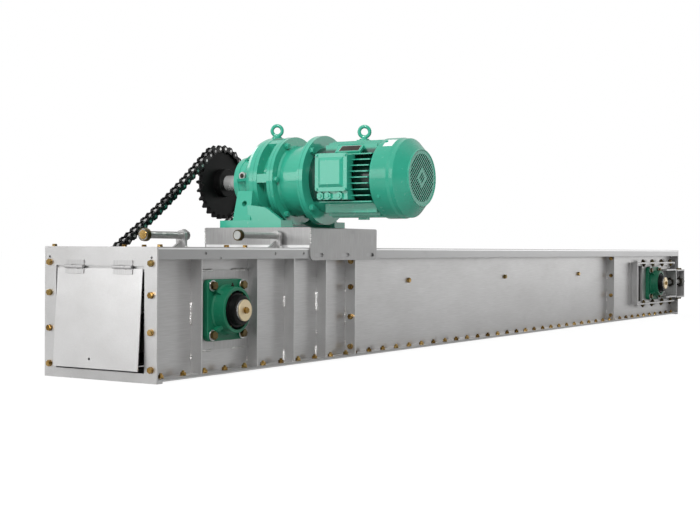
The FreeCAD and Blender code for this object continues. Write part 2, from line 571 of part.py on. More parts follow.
save("eye_bolts", Part.makeCompound([eye_bolt(62.0, EYE_BASE[0], 801.5), eye_bolt(-303.5, EYE_BASE[1], 782.4)]))

# Roller chain drive. Both sprockets have the same teeth; the chain is loose and hangs between them.
SHAFT_OUT_R = 27.5
save("output_shaft", cyl_y(SHAFT_OUT_R, 200.0, CHAIN_Y + 38, DRIVE_X, DRIVE_Z))
SPROCKET_R = ROLLER_PITCH / 2 / math.sin(math.pi / ROLLER_TEETH)
TOOTH_STEP = 2 * math.pi / ROLLER_TEETH


def chain_sprocket(x, z, bore, first_gap):
    """One row of teeth on a disc, with its hub toward the trough."""
    rim = []
    for k in range(ROLLER_TEETH):
        a = math.radians(first_gap) + k * TOOTH_STEP
        for r, half in ((SPROCKET_R + 5.5, -0.098), (SPROCKET_R, -0.0853), (SPROCKET_R - 10.2, -0.0515),
                        (SPROCKET_R - 10.2, 0.0515), (SPROCKET_R, 0.0853), (SPROCKET_R + 5.5, 0.098)):
            rim.append((r, a + half))
    disc = prism(polar(rim, x, CHAIN_Y - 9.0, z), (0, 18, 0))
    hub = turned([(0, CHAIN_Y - 35), (50, CHAIN_Y - 35), (52, CHAIN_Y - 33), (52, CHAIN_Y), (0, CHAIN_Y)], x, z)
    return fuse([disc, hub]).cut(cyl_y(bore, CHAIN_Y - 60, CHAIN_Y + 60, x, z))


save("drive_sprocket", chain_sprocket(DRIVE_X, DRIVE_Z, SHAFT_OUT_R, FIRST_PIN[0]))
save("driven_sprocket", chain_sprocket(0, SHAFT_Z, SHAFT_R, FIRST_PIN[1]))


def strand(a, b, count):
    """Pin centres of the links that hang from a to b, without b itself."""
    span = b - a
    sag = span.Length * math.sqrt(3 / 8 * (count * ROLLER_PITCH / span.Length - 1))
    drop = V(span.z, 0, -span.x).normalize() * (4 * sag if span.x > 0 else -4 * sag)
    curve = [a + span * (k / 2000) + drop * (k / 2000 * (1 - k / 2000)) for k in range(2001)]
    length = [0.0]
    for p, q in zip(curve, curve[1:]):
        length.append(length[-1] + (q - p).Length)
    nearest = [min(range(2001), key=lambda k: abs(length[k] - length[-1] * i / count)) for i in range(count)]
    return [curve[k] for k in nearest]


def chain_pins():
    """Pin centres once round: over the drive sprocket, back below, round the other, back above."""
    ends = []
    for x, z, first, turn, count in ((DRIVE_X, DRIVE_Z, FIRST_PIN[0], -1, WRAP_PINS[0]),
                                     (0.0, SHAFT_Z, FIRST_PIN[1], 1, WRAP_PINS[1])):
        angles = [math.radians(first) + turn * k * TOOTH_STEP for k in range(count)]
        ends.append([V(x + SPROCKET_R * math.cos(t), 0, z + SPROCKET_R * math.sin(t)) for t in angles])
    drive, driven = ends
    return (drive[:-1] + strand(drive[-1], driven[-1], LOWER_LINKS) + driven[:0:-1]
            + strand(driven[0], drive[0], UPPER_LINKS))


def link_plate(length, y0, y1, r):
    pts = [(-r, -r / 2), (-r / 2, -r), (length + r / 2, -r), (length + r, -r / 2),
           (length + r, r / 2), (length + r / 2, r), (-r / 2, r), (-r, r / 2)]
    return prism([(x, y0, z) for x, z in pts], (0, y1 - y0, 0))


chain = []
CPINS = chain_pins()
for i, p in enumerate(CPINS):
    q = CPINS[(i + 1) % len(CPINS)]
    n = (q - p).Length
    if i % 2 == 0:
        rollers = [prism([(x + ROLLER_R * math.cos(k * math.pi / 3), -9.6, ROLLER_R * math.sin(k * math.pi / 3))
                          for k in range(6)], (0, 19.2, 0)) for x in (0, n)]
        pieces = [fuse([link_plate(n, -13.6, -9.6, 14.5), link_plate(n, 9.6, 13.6, 14.5)] + rollers)]
    else:
        pieces = [link_plate(n, -17.85, -13.85, 12.6), link_plate(n, 13.85, 17.85, 12.6)]
    for piece in pieces:
        piece.rotate(V(0, 0, 0), Y_AXIS, -math.degrees(math.atan2(q.z - p.z, q.x - p.x)))
        piece.translate(V(p.x, CHAIN_Y, p.z))
        chain.append(piece)
save("roller_chain", Part.makeCompound(chain))
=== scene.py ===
# %% [markdown]
# # A drag chain conveyor, from bare solids to finished steel
# The solid model already has the trough, bearings, gear motor, sprockets and take-up at their real
# size. This notebook gives each of them its finish and adds what a fitter would: nuts, bolts, washers,
# weld beads, grease nipples and the links of the roller chain. Lengths in the lists are millimetres,
# because workshop drawings use them, and `MM` turns them into Blender's metres.

# %% Load the solid model
import math

import bmesh
import bpy
from mathutils import Matrix, Vector


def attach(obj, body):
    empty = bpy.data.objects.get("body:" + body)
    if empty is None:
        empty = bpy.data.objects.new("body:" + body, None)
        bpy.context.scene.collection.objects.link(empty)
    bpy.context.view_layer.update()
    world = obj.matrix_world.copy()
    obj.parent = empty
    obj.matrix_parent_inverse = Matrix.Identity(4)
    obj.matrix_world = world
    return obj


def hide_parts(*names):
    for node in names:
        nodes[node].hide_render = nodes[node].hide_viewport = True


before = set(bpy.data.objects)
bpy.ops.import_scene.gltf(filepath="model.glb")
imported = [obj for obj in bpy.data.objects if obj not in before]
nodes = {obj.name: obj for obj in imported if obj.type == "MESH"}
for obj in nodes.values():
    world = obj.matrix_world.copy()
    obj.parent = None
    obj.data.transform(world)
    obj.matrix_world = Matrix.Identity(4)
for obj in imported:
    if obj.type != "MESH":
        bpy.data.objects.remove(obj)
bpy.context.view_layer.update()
MM = 0.001
print("solid pieces:", len(nodes))

# %% [markdown]
# ## Shader maths as Python
# A finish such as rolled sheet is a few noises added, scaled and remapped. Wiring that by hand hides
# the recipe, so an output socket is wrapped in a small class whose `+`, `-`, `*` and `/` add Math
# nodes. The reflected forms let a plain number stand on the left, as in `1 - dirt`.

# %% A socket that can be used in an expression
class Wire:
    def __init__(self, tree, socket):
        self.tree, self.socket = tree, socket

    def _math(self, operation, a, b):
        node = self.tree.nodes.new("ShaderNodeMath")
        node.operation = operation
        for slot, value in zip(node.inputs, (a, b)):
            connect(self.tree, slot, value)
        return Wire(self.tree, node.outputs[0])

    def __add__(self, other):
        return self._math("ADD", self, other)

    def __radd__(self, other):
        return self._math("ADD", other, self)

    def __sub__(self, other):
        return self._math("SUBTRACT", self, other)

    def __rsub__(self, other):
        return self._math("SUBTRACT", other, self)

    def __mul__(self, other):
        return self._math("MULTIPLY", self, other)

    def __rmul__(self, other):
        return self._math("MULTIPLY", other, self)

    def __truediv__(self, other):
        return self._math("DIVIDE", self, other)

    def __pow__(self, other):
        return self._math("POWER", self, other)


def connect(tree, slot, value):
    if isinstance(value, Wire):
        tree.links.new(value.socket, slot)
    elif isinstance(value, (tuple, list)) and len(value) == 3 and slot.type == "RGBA":
        slot.default_value = (*value, 1.0)
    else:
        slot.default_value = value


# %% [markdown]
# ## One bench for every finish
# `Finish` holds a material's tree. `node` makes any node from its type, its settings and its inputs,
# and the short methods below it are the ones that this object's finishes share: noise on the object's
# own coordinates, a colour ramp, a smooth band, a mix of two colours and a bump. Positions come from
# Object coordinates, so a pattern stays on the steel when the flap or the take-up moves. The floor and
# the sky use the same bench at the end.

# %% The finish builder
class Finish:
    """The nodes of a material, or of another store's block such as a world."""
    def __init__(self, name, store=bpy.data.materials, coordinates="Object"):
        self.owner = store.new(name)
        self.owner.use_nodes = True
        self.tree = self.owner.node_tree
        self.tree.nodes.clear()
        self.place = self.node("ShaderNodeTexCoord", out=coordinates)

    def node(self, kind, settings=None, inputs=None, out=0):
        made = self.tree.nodes.new(kind)
        for key, value in (settings or {}).items():
            if key == "stops":
                ramp = made.color_ramp
                while len(ramp.elements) < len(value):
                    ramp.elements.new(0.5)
                for element, (position, colour) in zip(ramp.elements, value):
                    element.position = position
                    element.color = (*colour, 1.0)
            else:
                setattr(made, key, value)
        for key, value in (inputs or {}).items():
            connect(self.tree, made.inputs[key], value)
        return Wire(self.tree, made.outputs[out]) if made.outputs else None

    def noise(self, scale, detail=3.0, stretch=(1, 1, 1), shift=(0, 0, 0)):
        spot = self.node("ShaderNodeMapping",
                         inputs={"Vector": self.place, "Scale": stretch, "Location": shift})
        return self.node("ShaderNodeTexNoise", inputs={"Vector": spot, "Scale": scale, "Detail": detail})

    def ramp(self, value, stops):
        return self.node("ShaderNodeValToRGB", {"stops": stops}, {0: value})

    def band(self, value, low, high, at_low=0.0, at_high=1.0):
        """at_low below low, at_high above high, smooth between; low may be the greater."""
        return self.node("ShaderNodeMapRange", {"interpolation_type": "SMOOTHSTEP"},
                         {"Value": value, "From Min": low, "From Max": high,
                          "To Min": at_low, "To Max": at_high})

    def mix(self, factor, a, b):
        return self.node("ShaderNodeMix", {"data_type": "RGBA"}, {0: factor, 6: a, 7: b}, out=2)

    def along(self, axis):
        return self.node("ShaderNodeSeparateXYZ", inputs={0: self.place}, out=axis)

    def bump(self, height, strength, distance):
        return self.node("ShaderNodeBump", inputs={"Height": height, "Strength": strength,
                                                   "Distance": distance})

    def close(self, **sockets):
        names = {"colour": "Base Color", "roughness": "Roughness", "metallic": "Metallic",
                 "coat": "Coat Weight", "coat_roughness": "Coat Roughness", "normal": "Normal",
                 "ior": "IOR"}
        return self.end(self.node("ShaderNodeBsdfPrincipled",
                                  inputs={names[key]: value for key, value in sockets.items()}))

    def end(self, shader, kind="ShaderNodeOutputMaterial"):
        self.node(kind, inputs={0: shader})
        return self.owner


def scaled(numbers, factor):
    return tuple(number * factor for number in numbers)


print("finish builder ready, lengths in units of", MM, "m")

# %% [markdown]
# ## Rolled sheet
# The trough is cold-rolled sheet with a bright, satin face. Rolling leaves very fine lines along the
# sheet, handling leaves cloudy smears and a few short scuffs, and all of it shows mostly in how sharp
# the reflections are. So the colour hardly changes, and the roughness carries the pattern. The noise
# is stretched along the rolling: the whole length on the sheets, and upright on the plates.

# %% Sheet steel
def rolled_sheet(name, tone, stretch, roughness=0.30, rim=None):
    """rim: (z, y) in mm; beyond y on each side the lip gets a painted shade, with a painted highlight above
    z, where it was bent.
    """
    f = Finish(name)
    clouds = f.noise(2.2, 4.0)
    smears = f.noise(9.0, 5.0, (0.6, 1.0, 1.6), (3, 1, 2))
    lines = f.noise(9.0, 2.0, stretch)
    grain = f.noise(900.0, 2.0)
    scuffs = f.band(f.noise(26.0, 6.0, (0.35, 1.0, 1.0), (7, 2, 5)), 0.62, 0.74)
    shade = clouds * 0.25 + smears * 0.25 + lines * 0.5
    colour = f.ramp(shade, [(0.34, scaled((0.43, 0.425, 0.42), tone)),
                            (0.52, scaled((0.50, 0.497, 0.495), tone)),
                            (0.68, scaled((0.57, 0.568, 0.566), tone))])
    colour = f.mix(scuffs * 0.10, colour, scaled((0.36, 0.36, 0.365), tone))
    if rim:
        bend_z, lip_y = rim
        outward = f.node("ShaderNodeMath", {"operation": "ABSOLUTE"}, {0: f.along("Y")})
        lip = f.band(outward, (lip_y - 1) * MM, lip_y * MM)
        painted_bend_highlight = f.band(f.along("Z"), bend_z * MM, (bend_z + 1.5) * MM)
        # Painted light: the lip's face is painted darker as shade, and a pale band above the bend is a
        # painted highlight.
        painted_lip_shade = scaled((0.37, 0.37, 0.37), tone)
        colour = f.mix(lip, colour, f.mix(painted_bend_highlight, painted_lip_shade, (0.85, 0.85, 0.85)))
    rough = roughness + clouds * 0.06 + lines * 0.10 + scuffs * 0.06
    normal = f.bump(lines * 0.6 + grain * 0.4, 0.12, 0.0004)
    return f.close(colour=colour, metallic=0.9, roughness=rough, normal=normal)


LENGTHWISE, UPRIGHT = (2.0, 90.0, 90.0), (30.0, 30.0, 2.0)
SHEET = rolled_sheet("rolled sheet", 1.07, LENGTHWISE)
PLATE = rolled_sheet("hot rolled plate", 0.95, UPRIGHT, 0.34)
BENT = rolled_sheet("bent plate", 0.76, UPRIGHT, 0.36)
COVER = rolled_sheet("cover sheet", 0.80, LENGTHWISE)
# The wall's lip gets a painted shade and a painted highlight along its bend.
WALL = rolled_sheet("wall sheet", 1.07, LENGTHWISE, rim=(375.0, 217.0))
print("sheet finishes:", SHEET.name, PLATE.name, BENT.name, COVER.name, WALL.name)

# %% [markdown]
# ## Green paint
# The cast bearing housings have a flat dark coat over a sandy casting, the gear motor a thick glossy
# mint one with a faint orange peel. Both are the same recipe with other numbers: a colour that drifts
# a little, dust that dulls it, a bump, and a clear coat whose weight is a plain number. The gaps
# between the motor's fins, the motor's end inside the fan cover and the walls of the grille's slots
# get a painted shade, near black, picked out by their distance from the motor's axis and how far back they
# sit.

# %% Paint on castings
AXIS_X, AXIS_Z = 632.0, 619.0


def from_motor_axis(f):
    across, up = f.along("X") - AXIS_X * MM, f.along("Z") - AXIS_Z * MM
    return (across * across + up * up) ** 0.5


def paint(name, dark, light, gloss, peel, sand, coat, fins=None, slots=None):
    """fins: (r, y) in mm; painted shade within r of the axis, but not on the motor's foot, and beyond y.
    slots: (r, y) in mm; painted shade on what is both within r of the axis and behind y."""
    f = Finish(name)
    drift = f.noise(7.0, 3.0)
    dust = f.band(f.noise(60.0, 5.0, shift=(4, 4, 4)), 0.60, 0.80)
    colour = f.mix(drift, dark, light)
    colour = f.mix(dust * 0.10, colour, (0.36, 0.44, 0.40))
    skin = f.noise(240.0, 1.0)
    pits = f.noise(900.0, 3.0)
    if fins:
        radius, end_y = fins
        depth = f.band(from_motor_axis(f), (radius + 10.0) * MM, radius * MM)
        depth = depth * f.band(f.along("Z"), (AXIS_Z - 83.0) * MM, (AXIS_Z - 73.0) * MM)
        behind = f.band(f.along("Y"), (end_y + 4.0) * MM, end_y * MM)
        # Painted shade: the gaps between the fins and the motor's end inside the fan cover go near black.
        colour = f.mix(depth * 0.95, colour, scaled(dark, 0.10))
        colour = f.mix(behind, colour, scaled(dark, 0.05))
    if slots:
        radius, face_y = slots
        near = f.band(from_motor_axis(f), (radius + 1.0) * MM, radius * MM)
        deep = f.band(f.along("Y"), face_y * MM, (face_y + 0.6) * MM)
        # Painted shade on the walls of the grille's slots.
        colour = f.mix(near * deep, colour, scaled(dark, 0.03))
    return f.close(colour=colour, roughness=gloss + dust * 0.12 + drift * 0.05, coat=coat,
                   coat_roughness=0.07, ior=1.36, normal=f.bump(skin * peel + pits * sand, 0.30, 0.0007))


BEARING_GREEN = paint("bearing green", (0.003, 0.105, 0.052), (0.006, 0.150, 0.078), 0.42, 0.4, 0.9, 0.12)
MINT = (0.026, 0.325, 0.215), (0.042, 0.395, 0.272)
DRIVE_GREEN = paint("drive green", *MINT, 0.20, 0.5, 0.10, 0.60)
# The motor's finish carries the painted shade between its fins and behind the fan cover.
MOTOR_GREEN = paint("motor green", *MINT, 0.24, 0.5, 0.10, 0.30, fins=(116.0, -410.0))
# The fan cover takes the motor's mint paint darkened, a painted shade, plus painted shade in its slots.
SHADED_COVER_GREEN = paint("shaded fan cover green", (0.021, 0.268, 0.175), (0.035, 0.330, 0.225), 0.22, 0.5, 0.10, 0.25,
                    slots=(84.0, -528.8))
print("paints:", BEARING_GREEN.name, DRIVE_GREEN.name, MOTOR_GREEN.name, SHADED_COVER_GREEN.name)

# %% [markdown]
# ## Turned, threaded and plated metal
# A turned shaft has rings round it, spaced by the lathe's feed, and the long screws have a real thread
# pitch. Both are bands across the piece's own axis, so one recipe takes the axis and the spacing.
# Yellow passivation on the bolts drifts from gold to brown, and a noise coarser than a bolt head makes
# neighbours differ. The same recipe with two shades serves for black oxide, oil, welds and rubber.

# %% Shafts, screws and plating
def turned(name, colour_a, colour_b, roughness, axis="Y", pitch=None, metallic=1.0):
    f = Finish(name)
    rings = f.noise(1.0, 2.0, (1400.0, 4.0, 4.0) if axis == "X" else (4.0, 1400.0, 4.0))
    stain = f.noise(30.0, 4.0)
    relief, strength, depth = rings, 0.15, 0.0003
    if pitch:
        turns = f.along(axis) * (2 * math.pi / (pitch * MM))
        wave = f.node("ShaderNodeMath", {"operation": "SINE"}, {0: turns})
        relief, strength, depth = wave * 0.5 + rings * 0.1, 0.9, 0.0012
        rings = wave * 0.35 + 0.5
    return f.close(colour=f.mix(rings * 0.5 + stain * 0.5, colour_a, colour_b), metallic=metallic,
                   roughness=roughness + stain * 0.12, normal=f.bump(relief, strength, depth))


def plated(name, stops, roughness, metallic=1.0, ior=1.45):
    f = Finish(name)
    drift = f.noise(14.0, 2.0)
    fine = f.noise(260.0, 3.0)
    return f.close(colour=f.ramp(drift * 0.8 + fine * 0.2, stops), metallic=metallic, ior=ior,
                   roughness=roughness + fine * 0.15, normal=f.bump(fine, 0.15, 0.0004))


def shades(dark, light, low=0.30, high=0.70):
    return [(low, dark), (high, light)]


STEEL = turned("turned steel", (0.62, 0.62, 0.61), (0.82, 0.82, 0.81), 0.20, metallic=0.6)
SCREW = turned("threaded bar", (0.17, 0.17, 0.165), (0.60, 0.60, 0.59), 0.28, "X", 3.0)
BRASS = turned("pale brass", (0.66, 0.54, 0.34), (0.84, 0.72, 0.50), 0.38)
GOLD = plated("yellow zinc", [(0.36, (0.09, 0.050, 0.014)), (0.47, (0.28, 0.165, 0.045)),
                              (0.57, (0.50, 0.33, 0.12)), (0.68, (0.20, 0.14, 0.045))], 0.12)
OLIVE = plated("dark yellow zinc", [(0.38, (0.045, 0.032, 0.014)), (0.55, (0.15, 0.11, 0.045)),
                                    (0.68, (0.085, 0.075, 0.035))], 0.30)
BRIGHT = plated("bright zinc", shades((0.52, 0.53, 0.53), (0.76, 0.77, 0.77)), 0.24)
BLACKED = plated("black oxide", shades((0.018, 0.016, 0.013), (0.055, 0.048, 0.036)), 0.36, 0.8)
RUBBER = plated("black seal", shades((0.002, 0.002, 0.002), (0.006, 0.006, 0.006)), 0.34, 0.0, 1.25)
OILED = plated("oiled chain steel", shades((0.007, 0.007, 0.008), (0.040, 0.039, 0.038)), 0.22, 0.9)
SPROCKET = plated("black sprocket", shades((0.004, 0.004, 0.004), (0.010, 0.010, 0.010)), 0.36, 0.3, 1.2)
ROLLER = plated("chain roller", shades((0.05, 0.05, 0.05), (0.66, 0.66, 0.65), 0.34, 0.66), 0.14)
FORGED = plated("forged steel", shades((0.075, 0.068, 0.062), (0.19, 0.18, 0.17)), 0.42, 0.85)
WELD = plated("weld metal", shades((0.34, 0.33, 0.32), (0.86, 0.85, 0.84), 0.34, 0.60), 0.24, 0.80)
EDGE = plated("sheared edge", shades((0.66, 0.66, 0.66), (0.84, 0.84, 0.84)), 0.34, 0.55)
DULL = plated("dull zinc", shades((0.30, 0.31, 0.30), (0.47, 0.48, 0.47)), 0.30)
print("finishes so far:", len(bpy.data.materials))

# %% [markdown]
# ## Paint the solids
# Each solid keeps its shape and takes one finish. The list is by finish, as a painter's job card would
# be. The roller chain isn't on it, because its links are modelled below.

# %% Give every solid its finish
JOB_CARD = {
    WALL: "head_walls mid_walls tail_walls",
    SHEET: """head_bottom_plate mid_bottom_plate tail_bottom_plate
              head_end_plate tail_end_plate inspection_flap return_rails""",
    COVER: "head_cover mid_cover tail_cover",
    BENT: "saddle",
    PLATE: """bearing_plates takeup_frames takeup_slides end_brackets jack_lugs
              hinge_moving_leaves hinge_fixed_leaves""",
    BEARING_GREEN: "head_bearings tail_bearings",
    DRIVE_GREEN: "reducer terminal_box eye_bolts",
    SHADED_COVER_GREEN: "fan_cover",
    MOTOR_GREEN: "motor",
    STEEL: "head_shaft tail_shaft output_shaft",
    SCREW: "takeup_screws jack_bolts",
    BRASS: "shaft_end_disc tail_end_discs",
    RUBBER: "head_bearing_inserts tail_bearing_inserts",
    SPROCKET: "drive_sprocket driven_sprocket",
    BLACKED: "takeup_nuts end_nuts",
    FORGED: "drag_chain head_sprocket tail_wheel",
}
for finish, names in JOB_CARD.items():
    for name in names.split():
        mesh = nodes[name].data
        mesh.materials.clear()
        mesh.materials.append(finish)
print("painted:", sum(len(n.split()) for n in JOB_CARD.values()), "of", len(nodes))

# %% [markdown]
# ## Broken edges
# No sheared or sawn edge is perfectly sharp, and the thin bright line along it is what tells the eye
# that a plate has thickness. A bevel modifier breaks every edge sharper than 50 degrees and leaves the
# solid underneath alone. On bare sheet the new faces take a second finish, bright sheared steel, and
# on castings they stay painted.

# %% Edge highlights
EDGES = {"head_walls mid_walls tail_walls head_end_plate tail_end_plate bearing_plates": 1.3,
         "head_bottom_plate mid_bottom_plate tail_bottom_plate head_cover mid_cover tail_cover": 1.3,
         "saddle jack_lugs takeup_frames takeup_slides end_brackets inspection_flap": 1.0,
         "hinge_moving_leaves hinge_fixed_leaves": 0.5}
PAINTED_EDGES = {"terminal_box head_bearings tail_bearings": 1.2}
for group, bare in ((EDGES, True), (PAINTED_EDGES, False)):
    for names, width in group.items():
        for name in names.split():
            modifier = nodes[name].modifiers.new("broken edge", "BEVEL")
            modifier.width, modifier.segments = width * MM, 2
            modifier.limit_method, modifier.angle_limit = "ANGLE", math.radians(50)
            if bare:
                nodes[name].data.materials.append(EDGE)
                modifier.material = 1
print("edges broken on", sum(len(n.split()) for g in (EDGES, PAINTED_EDGES) for n in g), "pieces")

# %% [markdown]
# ## Fastener patterns
# The trough is held by a few hundred bolts of a handful of sizes. Each size is modelled once, upright
# on the origin, with bmesh operators: a six-sided cone for the head with its corners turned off, a
# washer under it and, for a nut, the end of the thread.

# %% Bolt and nut patterns
def add_cone(bm, segments, r1, r2, depth, z):
    bmesh.ops.create_cone(bm, cap_ends=True, segments=segments, radius1=r1 * MM, radius2=r2 * MM,
                          depth=depth * MM, matrix=Matrix.Translation((0, 0, (z + depth / 2) * MM)))


def to_mesh(bm, name):
    mesh = bpy.data.meshes.new(name)
    bm.to_mesh(mesh)
    bm.free()
    return mesh


def fastener(name, flats, height, washer=0.0, thick=2.0, thread=0.0, stub=0.0):
    """Hex head or nut that stands on z = 0; washer and thread are radii, stub the thread that shows."""
    bm = bmesh.new()
    base = 0.0
    if washer:
        add_cone(bm, 20, washer, washer - 0.4, thick, 0.0)
        base = thick
    corner = flats / math.sqrt(3)
    add_cone(bm, 6, corner, corner, height * 0.82, base)
    add_cone(bm, 6, corner, corner * 0.86, height * 0.18, base + height * 0.82)
    if stub:
        add_cone(bm, 10, thread, thread, stub * 0.75, base + height)
        add_cone(bm, 10, thread, thread * 0.75, stub * 0.25, base + height + stub * 0.75)
    return to_mesh(bm, name + " pattern")


NUT_M10 = fastener("foot nut", 16.0, 8.0, 9.6, 1.8, 4.8, 5.0)
BOLT_M12 = fastener("joint bolt", 17.0, 7.5, 9.9, 1.8)
COVER_BOLT = fastener("cover bolt", 14.0, 5.5, 8.4, 1.5)
print("faces of a foot nut and a joint bolt:", len(NUT_M10.polygons), len(BOLT_M12.polygons))

# %% [markdown]
# ## One stamp for all of them
# Copies of a pattern are stamped wherever the drawing has one, all into one mesh for each group, which
# keeps the list of objects short. Every copy is turned a little further than the last, because nobody
# lines up the flats of nuts. Each finished piece is told which body it rides on.

# %% Stamp copies and close a piece
def add_copy(bm, pattern, place):
    copy = pattern.copy()
    copy.transform(place)
    bm.from_mesh(copy)
    bpy.data.meshes.remove(copy)


def stamp(bm, pattern, spot, towards, spin):
    """Add a copy of pattern with its foot at spot (mm), its axis towards a direction, and a spin."""
    aim = Vector(towards).to_track_quat("Z", "Y").to_matrix().to_4x4()
    spun = Matrix.Rotation(math.radians(spin), 4, "Z")
    add_copy(bm, pattern, Matrix.Translation(Vector(spot) * MM) @ aim @ spun)


def piece(name, bm, finish, body, smooth=35.0):
    """Close a bmesh into an object that rides on a body and takes a finish."""
    bmesh.ops.recalc_face_normals(bm, faces=bm.faces)
    mesh = to_mesh(bm, name)
    mesh.materials.append(finish)
    obj = bpy.data.objects.new(name, mesh)
    bpy.context.scene.collection.objects.link(obj)
    if smooth:
        mesh.polygons.foreach_set("use_smooth", [True] * len(mesh.polygons))
        mesh.set_sharp_from_angle(angle=math.radians(smooth))
    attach(obj, body)
    print(name, len(mesh.polygons), "faces")
    return obj


def row(name, pattern, spots, finish, body="housing", smooth=35.0):
    """spots: (place in mm, direction) of each copy."""
    bm = bmesh.new()
    for k, (spot, towards) in enumerate(spots):
        stamp(bm, pattern, spot, towards, 17.0 * k % 60)
    return piece(name, bm, finish, body, smooth)


UP, DOWN = (0, 0, 1), (0, 0, -1)
HEADWARD, TAILWARD = (-1, 0, 0), (1, 0, 0)
NEAR, FAR = (0, -1, 0), (0, 1, 0)
SIDES = (-1, 1)
print("directions run along the trough, across it and up; the near side is -Y")

# %% [markdown]
# ## Bolts of the trough
# The foot of each wall is bolted to the bottom plate every 100 mm with the nut on top. The sections
# and end plates are bolted through their upright flanges. Six small bolts hold the head cover, and
# three on each side of the middle section carry the rails of the returning chain.

# %% Rows along the trough
FOOT_Y, FOOT_TOP = 197.5, 8.0
FLANGE_Y, FLANGE_ROWS, END_ROWS = 196.5, (34.0, 140.0, 245.5, 336.0), (34.0, 336.0)
HEAD_FACE, TAIL_FACE, JOINTS, JOINT_HALF = -352.0, 4488.0, (728.0, 3378.0), 5.0
COVER_TOP = 383.0
foot_x = [start + 100 * i for start, count in ((-311, 11), (749, 27), (3410, 11)) for i in range(count)]
row("foot_nuts", NUT_M10, [((x, s * FOOT_Y, FOOT_TOP), UP) for s in SIDES for x in foot_x], GOLD)

heads = [((HEAD_FACE, s * FLANGE_Y, z), HEADWARD) for s in SIDES for z in FLANGE_ROWS]
heads += [((x - JOINT_HALF, s * FLANGE_Y, z), HEADWARD)
          for x in JOINTS for s in SIDES for z in FLANGE_ROWS]
heads += [((TAIL_FACE, s * FLANGE_Y, z), TAILWARD) for s in SIDES for z in END_ROWS]
row("flange_bolts", BOLT_M12, heads, GOLD)
nuts = [((x + JOINT_HALF, s * FLANGE_Y, z), TAILWARD)
        for x in JOINTS for s in SIDES for z in FLANGE_ROWS]
row("flange_nuts", NUT_M10, nuts, GOLD)
COVER_X, COVER_Y = (-325.0, -15.0, 80.0), 205.0
row("cover_bolts", COVER_BOLT, [((x, s * COVER_Y, COVER_TOP), UP) for x in COVER_X for s in SIDES], GOLD)
RAIL_X, WALL_FACE, RAIL_Z = (1185, 2072, 2958), 172.5, 260.0
row("rail_bolts", BOLT_M12, [((x, s * WALL_FACE, RAIL_Z), (0, s, 0)) for x in RAIL_X for s in SIDES], GOLD)

# %% [markdown]
# ## Bolts of the bearings
# Each bearing housing is held by four dark bolts with bright washers, which is why the washers are a
# group of their own. Round the inner ring sit small set screws that lock it to the shaft, and a grease
# nipple stands on the rim. A single bolt in the middle holds the brass disc on the end of the shaft.
# The flange, washer, rim and insert heights are counted from the face that carries the housing.

# %% Bearing fasteners
def disc(name, radius, thick, segments=20):
    """A round plate on z = 0 with a small chamfer on top."""
    bm = bmesh.new()
    add_cone(bm, segments, radius, radius, thick * 0.7, 0.0)
    add_cone(bm, segments, radius, radius - 0.6, thick * 0.3, thick * 0.7)
    return to_mesh(bm, name + " pattern")


BOLT_M16 = fastener("bearing bolt", 24.0, 10.0)
DOT = disc("set screw", 3.2, 1.2, 10)
NIPPLE = fastener("grease nipple", 9.0, 5.0, 0, 0, 2.6, 7.0)
DISC_BOLT = fastener("disc bolt", 17.0, 7.0, 10.5, 1.6)
SHAFT_Z, TAIL_SHAFT_X = 192.0, 4062.5
BOLT_HALF, SCREW_R, NIPPLE_R = 74.75, 55.5, 71.0
FLANGE_T, WASHER_T, RIM_T, INSERT_T = 22.0, 2.5, 40.0, 55.0
WASHER_M16 = disc("bearing washer", 17.0, WASHER_T, 24)
for tag, x, face, body in (("head", 0.0, 177.5, "housing"), ("tail", TAIL_SHAFT_X, 187.5, "takeup")):
    corners = [(x + a * BOLT_HALF, s, SHAFT_Z + b * BOLT_HALF) for s in SIDES for a in SIDES for b in SIDES]
    row(tag + "_bearing_washers", WASHER_M16,
        [((cx, s * (face + FLANGE_T), cz), (0, s, 0)) for cx, s, cz in corners], BRIGHT, body)
    row(tag + "_bearing_bolts", BOLT_M16,
        [((cx, s * (face + FLANGE_T + WASHER_T), cz), (0, s, 0)) for cx, s, cz in corners], OLIVE, body)
    ring = [(x + SCREW_R * math.cos(k * math.pi / 3), s, SHAFT_Z + SCREW_R * math.sin(k * math.pi / 3))
            for s in SIDES for k in range(6)]
    row(tag + "_set_screws", DOT,
        [((cx, s * (face + INSERT_T), cz), (0, s, 0)) for cx, s, cz in ring], OLIVE, body)
    row(tag + "_grease_nipples", NIPPLE,
        [((x, s * (face + RIM_T), SHAFT_Z + NIPPLE_R), UP) for s in SIDES], BLACKED, body)
HEAD_DISC_Y, TAIL_DISC_Y = 267.5, 276.5
row("head_disc_bolt", DISC_BOLT, [((0.0, -HEAD_DISC_Y, SHAFT_Z), NEAR)], GOLD)
row("tail_disc_bolts", DISC_BOLT,
    [((TAIL_SHAFT_X, s * TAIL_DISC_Y, SHAFT_Z), (0, s, 0)) for s in SIDES], GOLD, "takeup")

# %% [markdown]
# ## Bolts of the gear motor
# The reducer's rings are held by painted bolts: six on each side of the drum and four where the motor
# is flanged on. The lid of the terminal box has a screw at each corner, and the fan cover has four
# round its rim. They're painted with the casting, so they take its finish. The oil filler's plug, on
# the side of the reducer, is bare zinc; a black disc on its face is a painted shade for its socket.

# %% Painted bolts
def on_circle(radius, y, degrees):
    """A point round the motor's axis, in mm."""
    a = math.radians(degrees)
    return (AXIS_X + radius * math.cos(a), y, AXIS_Z + radius * math.sin(a))


